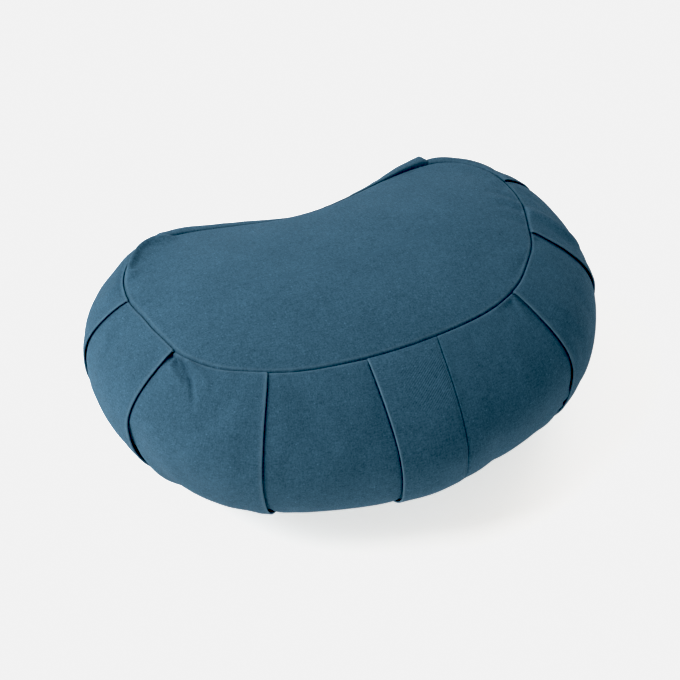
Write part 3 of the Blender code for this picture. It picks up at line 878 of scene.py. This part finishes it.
def makeSide():
    columns = sideColumns()
    k, walk, below, down = (np.array([getattr(c.rows, name) for c in columns]) for name in Rows._fields)
    names = ("at", "off", "stretch", "skin", "foldAway")
    at, off, stretch, skin, foldAway = (np.array([getattr(c, name) for c in columns]) for name in names)
    base = sidePoint(at, k)
    outward = outwardAt(at, k, walk)
    off = off + drawnIn(walk)
    off += flapShoulder(at) * (stretch == frontStretch)[:, None]
    flatBase = base.reshape(-1, 3)
    detail = np.zeros(len(flatBase))
    owner = np.repeat(stretch, rowCount)
    for number, creases in sideCreases.items():
        mine = np.where(owner == number)[0]
        for crease in creases:
            detail[mine] += ridgeOver(flatBase[mine], crease, creaseLine(crease))
    detail += cushion["ripple"] * ripples(flatBase, cushion["rippleSize"], 3)
    detail = detail.reshape(at.shape)
    toFold = np.min([abs(at - foldLine(pleat, down)) for pleat in pleats], axis=0)
    share = smoothStep(walk / settle["besideSeam"]) * smoothStep(toFold / settle["besideFold"])
    detail += gridHeight(settledSide(), below / below[:, -1:], at / bellyLength) * share
    seamAt = seamFor(at)
    for half, seed in ((down < 1, 1.0), (down >= 1, 9.0)):
        close = half & (walk < cushion["puckerEnd"])
        detail[close] += puckers(seamAt[close], walk[close], seed)
    detail *= awayFromSeam(walk)
    points = base + outward * (off + detail * skin[:, None])[..., None]
    points[..., 2] = np.maximum(points[..., 2], cushion["floorGap"])
    rings = [points[:, row] for row in range(rowCount)]
    uv = [np.stack([at[:, row], below[:, row]], -1) for row in range(rowCount)]
    # painted highlight along the fold edges and the seam shoulders
    highlightMask = [
        hump(foldAway, paintedHighlight["foldWidth"]) * (skin > 0.5) * smoothStep(walk[:, row] / paintedHighlight["fromSeam"])
        + paintedHighlight["seam"] * hump(walk[:, row] - cushion["seamRound"], paintedHighlight["seamWidth"])
        for row in range(rowCount)
    ]
    # a step behind each seam, then the crowned seat that the panel lies on
    seamEnds = seamFor(at[:, 0])
    seam, inward = seamPoints(seamEnds)
    for top in (True, False):
        level = seamHeight(seam[:, 1]) if top else np.full(len(seam), cushion["bottomSeam"])
        inside = -1 if top else 1
        height = level + inside * seat["step"]
        foot = np.concatenate([seam - inward * seat["outside"], height[:, None]], 1)
        face = panelRings(seamEnds, top, seat["rings"], seat["spans"])[0]
        face[..., 2] += inside * (topPanel["thick"] + seat["below"])
        for ring in (foot, *face):
            place = 0 if top else len(rings)
            rings.insert(place, ring)
            uv.insert(place, uv[0] if top else uv[-1])
            highlightMask.insert(place, np.zeros(len(seam)))
    return addMesh("pleatedSide", np.array(rings) + cadShift, uv, bellyLength, highlightMask)


def panelDetail(plan, walk, seamAt, creases, seed):
    # creases, slow ripples and seam gathers of a panel, as a height
    flatPlan = np.concatenate([plan.reshape(-1, 2), np.zeros((plan[..., 0].size, 1))], 1)
    high = np.zeros(len(flatPlan))
    for crease in creases:
        line = np.array([(x / 1000, y / 1000, 0.0) for x, y in crease[-1]]) - cadShift * [1, 1, 0]
        high += ridgeOver(flatPlan, crease, line)
    high += cushion["ripple"] * ripples(flatPlan + [0, 0, seed], cushion["rippleSize"], 3)
    high = high.reshape(walk.shape)
    near = walk < cushion["puckerEnd"]
    high[near] += puckers(np.broadcast_to(seamAt, walk.shape)[near], walk[near], seed)
    return high * awayFromSeam(walk)


def makePanel(name, top):
    count = round(seamLength / topPanel["columnSpacing"])
    seamAt = np.arange(count) / count * seamLength
    spans = np.append(np.linspace(0, 1, round(topPanel["depth"] / topPanel["ringSpacing"]))[1:-1], 0.985)
    outer, walk = panelRings(seamAt, top, topPanel["rings"], spans)
    if top:
        outer[..., 2] += panelDetail(outer[..., :2], walk, seamAt, topCreases, 3.0)
    inner = outer.copy()
    inner[..., 2] += -topPanel["thick"] if top else topPanel["thick"]
    rings = np.concatenate([outer[::-1], inner])
    plan = (rings + cadShift)[..., :2]
    # painted highlight along the seam shoulder
    highlightMask = paintedHighlight["seam"] * hump(walk - cushion["seamRound"] - topPanel["inset"], paintedHighlight["seamWidth"])
    return addMesh(name, rings + cadShift, plan, 0.0, np.concatenate([highlightMask[::-1], highlightMask * 0]))


def flapFace(at, rows):
    # outer face of the flap at one place across it
    left, right = flap["left"][1], flap["right"][1]
    across = (at - left) / (right - left)
    puff = flap["puff"] * np.sin(np.pi * np.clip(across, 0, 1))**0.8
    lift = flap["edgeLift"] * np.exp(-(at - left) / flap["liftWidth"])
    stitchDip = seamStitch["dip"] * hump(right - at - seamStitch["inFromEdge"], seamStitch["dipWidth"])
    high = puff + lift - stitchDip - flap["shoulderDepth"] * rolled(right - at, flap["shoulder"])
    ends = smoothStep(rows.walk / flap["reliefReach"])
    return standOff(at, frontStretch, rows, False) + high * ends + drawnIn(rows.walk)


seamStitch = {
    "inFromEdge": 0.0024,
    "Stitch Length": 0.0024,
    "Gap": 0.0008,
    "Thread": 0.00042,
    "sink": 0.00006,
    "dip": 0.00035,         # the stitches press the cloth in
    "dipWidth": 0.0007,
    "fromSeam": 0.0035,     # they start this far from the top and bottom seam
    "jitter": (0.9, 1.08),  # range of their lengths
    "Seed": 4,
}


def makeFlap():
    # folded sheet: round the free left edge, across, and down into the seam on the right
    left, right = flap["left"][1], flap["right"][1] - flap["short"]
    radius = flap["thick"] / 2
    across = np.concatenate([
        left + np.array(flap["nearFree"]),
        np.linspace(left + flap["evenFrom"], right - flap["nearSewn"][0], flap["columns"])[:-1],
        right - np.array(flap["nearSewn"]),
    ])
    columns = []
    for x in across:
        at = np.full(rowCount, x)
        rows = rowsAt(x)
        columns.append((at, rows, flapFace(at, rows)))
    outer = [(at, rows, off, 1.0) for at, rows, off in columns]
    inner = [(at, rows, off - flap["thick"], 0.0) for at, rows, off in columns[::-1]]
    firstAt, firstRows, firstOff = columns[0]
    nose = []
    for turn in (-60, -30, 0, 30, 60):
        angle = math.radians(turn)
        at = firstAt - radius * math.cos(angle)
        nose.append((at, firstRows, firstOff - radius + radius * math.sin(angle), 1.0))
    loop = outer + inner + nose
    points, uv, skin = [], [], []
    for at, rows, off, weight in loop:
        base = sidePoint(at, rows.k)
        detail = cushion["ripple"] * ripples(base + flap["rippleShift"], flap["rippleSize"], 2)
        detail = detail * awayFromSeam(rows.walk)
        points.append(base + outwardAt(at, rows.k, rows.walk) * (off + detail)[:, None])
        uv.append(np.stack([at, rows.below], -1))
        # painted highlight along the flap's free edge
        edgeHighlight = paintedHighlight["flapEdge"] * hump(at - left, paintedHighlight["flapEdgeWidth"])
        skin.append(weight * (edgeHighlight * smoothStep(rows.walk / paintedHighlight["fromSeam"])))
    points = np.array(points).transpose(1, 0, 2)
    points[..., 2] = np.maximum(points[..., 2], cushion["floorGap"])
    return addMesh("frontFlap", points + cadShift, np.array(uv).transpose(1, 0, 2), 0.0, np.array(skin).T)


print("side strip")
side = makeSide()
print("panels and flap")
top = makePanel("topPanel", True)
bottom = makePanel("bottomPanel", False)
front = makeFlap()


# Topstitching along the flap's sewn edge, made with Geometry Nodes along a line on its face
def stitchLine():
    at = np.full(rowCount, flap["right"][1] - seamStitch["inFromEdge"])
    rows = rowsAt(float(at[0]))
    off = flapFace(at, rows) + seamStitch["Thread"] * 0.2 - seamStitch["sink"]
    points = sidePoint(at, rows.k) + outwardAt(at, rows.k, rows.walk) * off[:, None] + cadShift
    kept = points[rows.walk > seamStitch["fromSeam"]]
    mesh = bpy.data.meshes.new("stitchLine")
    mesh.from_pydata(kept.tolist(), [(i, i + 1) for i in range(len(kept) - 1)], [])
    return linked("flapStitches", mesh)


def stitchTree(material):
    tree = bpy.data.node_groups.new("stitchesAlongLine", "GeometryNodeTree")
    tree.interface.new_socket("Geometry", in_out="INPUT", socket_type="NodeSocketGeometry")
    sizes = {}
    for label, kind in (("Stitch Length", "Float"), ("Gap", "Float"), ("Thread", "Float"), ("Seed", "Int")):
        socket = tree.interface.new_socket(label, in_out="INPUT", socket_type="NodeSocket" + kind)
        socket.default_value = seamStitch[label]
        sizes[label] = socket.identifier
    tree.interface.new_socket("Geometry", in_out="OUTPUT", socket_type="NodeSocketGeometry")

    bench = NodeBench(tree)
    group = tree.nodes.new("NodeGroupInput")
    given = {name: Wire(bench, group.outputs[name]) for name in ("Geometry", *sizes)}
    curve = bench.add("GeometryNodeMeshToCurve", None, {0: given["Geometry"]})
    pitch = given["Stitch Length"] + given["Gap"]
    spots = bench.add("GeometryNodeCurveToPoints", {"mode": "LENGTH"}, {0: curve, 2: pitch})
    turned = Wire(bench, spots.socket.node.outputs["Rotation"])
    ball = bench.add("GeometryNodeMeshUVSphere", None, {0: 8, 1: 6, 2: 0.5})
    shortest, longest = seamStitch["jitter"]
    values = {2: shortest, 3: longest, 8: given["Seed"]}
    jitter = bench.add("FunctionNodeRandomValue", {"data_type": "FLOAT"}, values, out=1)
    long = given["Stitch Length"] * jitter
    size = bench.add("ShaderNodeCombineXYZ", None, {0: given["Thread"], 1: given["Thread"], 2: long})
    placed = bench.add("GeometryNodeInstanceOnPoints", None, {0: spots, 2: ball, 5: turned, 6: size})
    real = bench.add("GeometryNodeRealizeInstances", None, {0: placed})
    smooth = bench.add("GeometryNodeSetShadeSmooth", None, {0: real})
    dressed = bench.add("GeometryNodeSetMaterial", None, {0: smooth, "Material": material})
    bench.plug(tree.nodes.new("NodeGroupOutput").inputs[0], dressed)
    return tree, sizes


def makeStitches(material):
    line = stitchLine()
    tree, sizes = stitchTree(material)
    modifier = line.modifiers.new("stitches", "NODES")
    modifier.node_group = tree
    for label, identifier in sizes.items():
        modifier[identifier] = seamStitch[label]
    bpy.context.view_layer.update()
    graph = bpy.context.evaluated_depsgraph_get()
    mesh = bpy.data.meshes.new_from_object(line.evaluated_get(graph))
    line.modifiers.clear()
    line.data = mesh
    print("flapStitches", len(mesh.polygons), "faces")
    return line


class Wire:
    # a socket that Python arithmetic turns into Math nodes
    def __init__(self, bench, socket):
        self.bench, self.socket = bench, socket

    def __add__(self, other):
        return self.bench.maths("ADD", self, other)

    def __sub__(self, other):
        return self.bench.maths("SUBTRACT", self, other)

    def __rsub__(self, other):
        return self.bench.maths("SUBTRACT", other, self)

    def __mul__(self, other):
        return self.bench.maths("MULTIPLY", self, other)

    __radd__, __rmul__ = __add__, __mul__


class NodeBench:
    def __init__(self, tree):
        self.tree = tree

    def add(self, kind, settings=None, sockets=None, out=0):
        # a node of one kind, its settings first, then the values or wires of its sockets
        node = self.tree.nodes.new(kind)
        for key, value in (settings or {}).items():
            setattr(node, key, value)
        for key, value in (sockets or {}).items():
            self.plug(node.inputs[key], value)
        return Wire(self, node.outputs[out])

    def plug(self, socket, value):
        if isinstance(value, Wire):
            self.tree.links.new(value.socket, socket)
        else:
            socket.default_value = value

    def maths(self, operation, a, b):
        return self.add("ShaderNodeMath", {"operation": operation}, {0: a, 1: b})


class ShaderBench(NodeBench):
    def __init__(self, name):
        self.material = bpy.data.materials.new(name)
        self.material.use_nodes = True
        super().__init__(self.material.node_tree)

    def surface(self, values):
        # the shader's own sockets
        for name, value in values.items():
            self.plug(self.tree.nodes["Principled BSDF"].inputs[name], value)

    def sine(self, angle):
        return self.add("ShaderNodeMath", {"operation": "SINE"}, {0: angle})

    def ramp(self, value, start, end):
        values = {0: value, 1: start, 2: end}
        return self.add("ShaderNodeMapRange", {"interpolation_type": "SMOOTHSTEP"}, values)

    def scaled(self, colour, factor):
        return self.add("ShaderNodeVectorMath", {"operation": "SCALE"}, {0: colour, "Scale": factor})

    def speckle(self, where, size, detail=2.0, stretch=(1, 1, 1), offset=(0, 0, 0)):
        # noise with features of a real size, in metres, centred on 0
        placed = self.add("ShaderNodeMapping", None, {"Vector": where, "Scale": stretch, "Location": offset})
        values = {"Vector": placed, "Scale": 1 / size, "Detail": detail, "Roughness": 0.55}
        return self.add("ShaderNodeTexNoise", None, values) - 0.5


cotton = {
    "colour": (0.0615, 0.1280, 0.1860),
    "highlightColour": (0.120, 0.212, 0.284),     # painted highlight colour of fold edges, seam shoulders and the flap's free edge
    "threads": 0.00052,         # spacing of the yarns
    "weaveHeight": 0.00006,
    "weaveShade": 0.03,
    "twill": 2.6,               # spacing of the diagonal weave, in yarns
    "relief": {"weave": 0.5, "yarn": 0.8, "fleck": 0.5},        # what each adds to the bump
    "bump": 0.55,
    "roughness": 0.86,
    "specular": 0.05,
    "sheen": 0.13,
    "sheenRoughness": 0.5,
    "sheenTint": (0.40, 0.72, 1.0),
    "cloudy": 0.34,             # slow unevenness of the dye
    "cloudSize": 0.042,
    "patches": 0.7,             # the same in small patches, as a share of it
    "patchSize": 0.009,
    "heather": 0.54,            # streaks of single yarns
    "heatherSize": 0.0018,
    "fleck": 0.98,
    "fleckSize": 0.0013,
    "lint": 0.45,               # pale specks
    "lintSize": 0.0019,
    "lintFrom": (0.24, 0.34),   # only the noise's peaks
    # how strongly the painted highlight mask pales the colour
    "highlightStrength": 0.75,
}
ribs = {                        # the flap's diagonal lines, and where they fade in
    "spacing": 0.0023,
    "strength": 0.26,
    "slope": 0.85,
    "top": (0.068, 0.046),      # lengths below the top seam
    "foot": (0.006, 0.028),
    "left": (-0.022, 0.010),    # lengths from the front middle
}
thread = {
    "colour": (0.040, 0.105, 0.158),
    "twist": 0.0006,
    "roughness": 0.6,
}


def cottonMaterial(name, brightness=1.0, twill=0.0):
    # twill: share of the flap's diagonal weave
    bench = ShaderBench(name)
    cloth = bench.add("ShaderNodeUVMap", {"uv_map": "cloth"})
    u = bench.add("ShaderNodeSeparateXYZ", None, {0: cloth})
    v = Wire(bench, u.socket.node.outputs[1])
    turns = 2 * math.pi / cotton["threads"]
    weave = bench.sine(u * turns) * bench.sine(v * turns) * (1 - twill)
    weave = weave + bench.sine((u + v) * (turns / cotton["twill"])) * twill
    cloudy = bench.speckle(cloth, cotton["cloudSize"], 3.0)
    patches = bench.speckle(cloth, cotton["patchSize"], 2.0, offset=(0.3, 0.1, 0))
    alongWarp = bench.speckle(cloth, cotton["heatherSize"], stretch=(1.0, 0.35, 1.0))
    alongWeft = bench.speckle(cloth, cotton["heatherSize"], stretch=(0.35, 1.0, 1.0), offset=(1.7, 0.4, 0))
    fleck = bench.speckle(cloth, cotton["fleckSize"], 1.0, offset=(0.9, 2.2, 0))
    lint = bench.speckle(cloth, cotton["lintSize"], 0.0, offset=(2.9, 1.1, 0))
    lint = bench.ramp(lint, *cotton["lintFrom"])
    shade = cloudy * cotton["cloudy"] + patches * (cotton["cloudy"] * cotton["patches"])
    shade = shade + (alongWarp + alongWeft) * cotton["heather"] + fleck * cotton["fleck"]
    shade = shade + lint * cotton["lint"] + weave * cotton["weaveShade"]
    if twill:
        lines = bench.sine((u * ribs["slope"] + v) * (2 * math.pi / ribs["spacing"]))
        shown = bench.ramp(v, *ribs["top"]) * bench.ramp(v, *ribs["foot"]) * bench.ramp(u, *ribs["left"])
        shade = shade + lines * shown * ribs["strength"]
    tone = bench.scaled(tuple(c * brightness for c in cotton["colour"]), shade + 1.0)
    # painted highlights: the mask mixes the colour towards a paler one
    highlightMask = bench.add("ShaderNodeAttribute", {"attribute_name": "highlightMask"}, out=2)
    highlightMask = highlightMask * cotton["highlightStrength"] * (patches + 0.85)
    mixed = {0: highlightMask, 6: tone, 7: cotton["highlightColour"] + (1.0,)}
    relief = cotton["relief"]
    fuzz = weave * relief["weave"] + alongWarp * relief["yarn"] + alongWeft * relief["yarn"]
    fuzz = fuzz + fleck * relief["fleck"]
    bumped = {"Strength": cotton["bump"], "Distance": cotton["weaveHeight"] * 4, "Height": fuzz}
    bench.surface({
        "Base Color": bench.add("ShaderNodeMix", {"data_type": "RGBA"}, mixed, out=2),
        "Roughness": (fleck + patches) * 0.12 + cotton["roughness"],
        "Normal": bench.add("ShaderNodeBump", None, bumped),
        "Sheen Weight": cotton["sheen"],
        "Sheen Roughness": cotton["sheenRoughness"],
        "Sheen Tint": cotton["sheenTint"] + (1.0,),
        "Specular IOR Level": cotton["specular"],
    })
    return bench.material


def threadMaterial():
    bench = ShaderBench("petrolThread")
    where = bench.add("ShaderNodeTexCoord", out=3)
    twist = bench.speckle(where, thread["twist"], 1.0)
    bench.surface({
        "Base Color": bench.scaled(thread["colour"], twist * 0.4 + 1.0),
        "Roughness": twist * 0.2 + thread["roughness"],
    })
    return bench.material


print("cotton")
side.data.materials.append(cottonMaterial("sideCotton"))
top.data.materials.append(cottonMaterial("panelCotton"))
bottom.data.materials.append(cottonMaterial("underCotton", 0.95))
front.data.materials.append(cottonMaterial("flapCotton", 0.97, 0.7))
stitches = makeStitches(threadMaterial())

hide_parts("pleated_side")
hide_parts("top_panel")
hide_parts("bottom_panel")
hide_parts("front_flap")
slots = [(side, "side_cotton"), (top, "panel_cotton"), (bottom, "panel_cotton"), (front, "flap_cotton")]
for piece, slotName in (*slots, (stitches, "flap_cotton")):
    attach(piece, "root")


def flatArea(piece):
    # area of one face of a sheet, which is half of its skin
    return sum(p.area for p in piece.data.polygons) / 2


# the flat cuts, with some cloth added for the crown and the turned edges
added = {"panel": (0.004, 0.010), "flap": (0.003, 0.004)}
seamBox = seamCurve[1].max(0) - seamCurve[1].min(0)
panelCut = (float(seamBox[0]) + added["panel"][0], float(seamBox[1]) + added["panel"][1])
flapLength = float(rowsAt(0.0).below[-1])
flapCut = (flap["right"][1] - flap["left"][1] + added["flap"][0], flapLength + added["flap"][1])
flatArea(top)
flatArea(bottom)
print("flat areas", flatArea(top), flatArea(bottom), flatArea(front), panelCut, flapCut)


studio = {
    "floor": (0.95, 0.95, 0.95),
    "floorHalf": 9,
    "whiteLevel": 0.88,         # the pale backdrop's level in the picture
    "straightTo": 0.86,         # the tone curve is straight up to this share of it
    "flatFrom": 1.12,           # and flat from this one
    "blackLevel": 0.029,        # the level that shows as black
    "floorGlow": 0.63,          # keeps its shadows as faint as a studio's white sweep
    "glowTint": (1.0, 0.96, 0.91),
    "world": 0.30,
    "aim": (0, 0, 0.08),        # the point that both lights face
    "key": 15.0,
    "keyFrom": (284, 45),       # its compass angle and height, in degrees
    "keyAway": 1.2,
    "keySize": 0.8,
    "fill": 14.0,
    "fillFrom": (50, 26),
    "fillAway": 2.0,
    "fillSize": 1.2,
}
cameraView = {
    "azimuth": -22.8494,
    "elevation": 46.6955,
    "distance": 1.406,
    "target": (-0.0071, 0.0211, 0.070),
    "lens": 85,
    "sensor": 36,
}


def paleFloor():
    mesh = bpy.data.meshes.new("floor")
    half = studio["floorHalf"]
    corners = [(x * half, y * half, 0) for x, y in ((-1, -1), (1, -1), (1, 1), (-1, 1))]
    mesh.from_pydata(corners, [], [(0, 1, 2, 3)])
    bench = ShaderBench("paleFloor")
    bench.surface({
        "Base Color": studio["floor"] + (1.0,),
        "Roughness": 0.9,
        "Specular IOR Level": 0.1,
        "Emission Color": studio["glowTint"] + (1.0,),
        "Emission Strength": studio["floorGlow"],
    })
    mesh.materials.append(bench.material)
    return linked("floor", mesh)


def towards(azimuth, elevation):
    # direction by its compass angle from +Y towards +X and its height
    a, e = math.radians(azimuth), math.radians(elevation)
    return Vector((math.sin(a) * math.cos(e), math.cos(a) * math.cos(e), math.sin(e)))


def softLight(name):
    light = bpy.data.lights.new(name + "Light", "AREA")
    light.energy = studio[name]
    light.shape = "RECTANGLE"
    light.size = light.size_y = studio[name + "Size"]
    lamp = linked(name + "Light", light)
    direction = towards(*studio[name + "From"])
    lamp.location = direction * studio[name + "Away"] + Vector(studio["aim"])
    lamp.rotation_euler = direction.to_track_quat("Z", "Y").to_euler()
    lamp.visible_camera = False


print("floor, light and camera")
paleFloor()
softLight("key")
softLight("fill")
world = bpy.data.worlds.new("studio")
world.use_nodes = True
world.node_tree.nodes["Background"].inputs[0].default_value = (1.0, 1.0, 1.0, 1.0)
world.node_tree.nodes["Background"].inputs[1].default_value = studio["world"]
scene.world = world

a, e = math.radians(cameraView["azimuth"]), math.radians(cameraView["elevation"])
back = Vector((math.sin(a) * math.cos(e), -math.cos(a) * math.cos(e), math.sin(e)))
right = Vector((math.cos(a), math.sin(a), 0))
placed = Matrix((right, back.cross(right), back)).transposed().to_4x4()
placed.translation = Vector(cameraView["target"]) + back * cameraView["distance"]
lens = bpy.data.cameras.new("camera")
lens.lens = cameraView["lens"]
lens.sensor_width = cameraView["sensor"]
camera = linked("camera", lens)
camera.matrix_world = placed
scene.camera = camera

# plain colour, with the paper white of the backdrop held at one level
scene.view_settings.view_transform = "Standard"
scene.view_settings.use_curve_mapping = True
curve = scene.view_settings.curve_mapping
curve.use_clip = False
curve.extend = "HORIZONTAL"
white = studio["whiteLevel"]
tone = curve.curves[3]
tone.points[0].location = (0.0, 0.0)
tone.points[1].location = (white * studio["flatFrom"], white)
straight = white * studio["straightTo"]
for place in ((straight, straight), (white * 0.5, white * 0.5), (white * 1.3, white)):
    tone.points.new(*place)
curve.black_level = (studio["blackLevel"],) * 3
curve.white_level = (1 + studio["blackLevel"],) * 3
curve.update()
